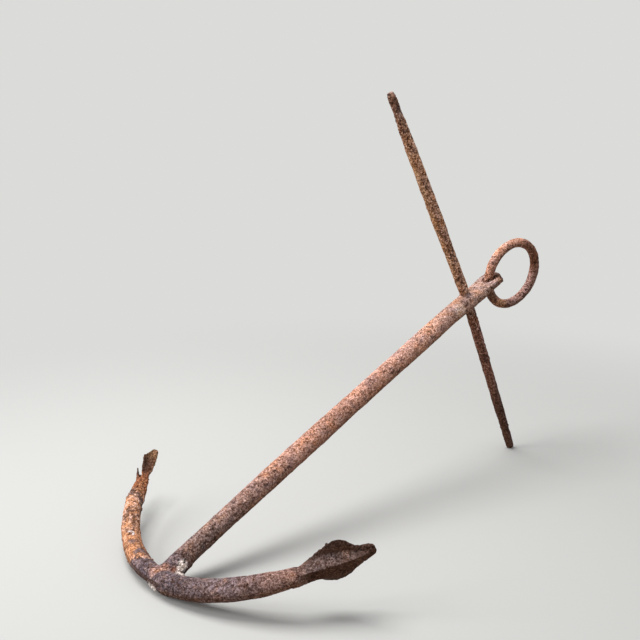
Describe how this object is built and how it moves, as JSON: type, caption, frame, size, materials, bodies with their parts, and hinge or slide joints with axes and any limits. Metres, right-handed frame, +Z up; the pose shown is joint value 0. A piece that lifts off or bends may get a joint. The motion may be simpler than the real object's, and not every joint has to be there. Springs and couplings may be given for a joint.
{
  "type": "rusted anchor",
  "caption": "Small hand-forged anchor of the admiralty pattern, heavily rusted, with a bent stock, a lifting ring and a damaged palm.",
  "frame": {"origin": "centre of the underside of the box round the anchor as it stands on the floor", "axes": "+X the way the shank runs from crown to head, seen from above, +Y towards the arm with the damaged palm, +Z up"},
  "size_m": [0.6112, 0.355, 0.4623],
  "materials": {
    "shank_iron": "rusted wrought iron, mid brown with pinkish bloom",
    "arms_iron": "rusted wrought iron, purple brown with an orange stretch and a whitish crust at the crown",
    "palm_iron": "rusted wrought iron, dark brown and pitted",
    "scaled_iron": "deeply scaled and flaking rust",
    "stock_iron": "rusted wrought iron, speckled brown and near black at the foot",
    "ring_iron": "rusted wrought iron, pinkish brown"
  },
  "bodies": {
    "root": {"shank": "shank_iron", "arms": "arms_iron", "near_palm": "palm_iron", "far_palm": "scaled_iron", "stock": "stock_iron", "ring": "ring_iron"}
  },
  "joints": []
}
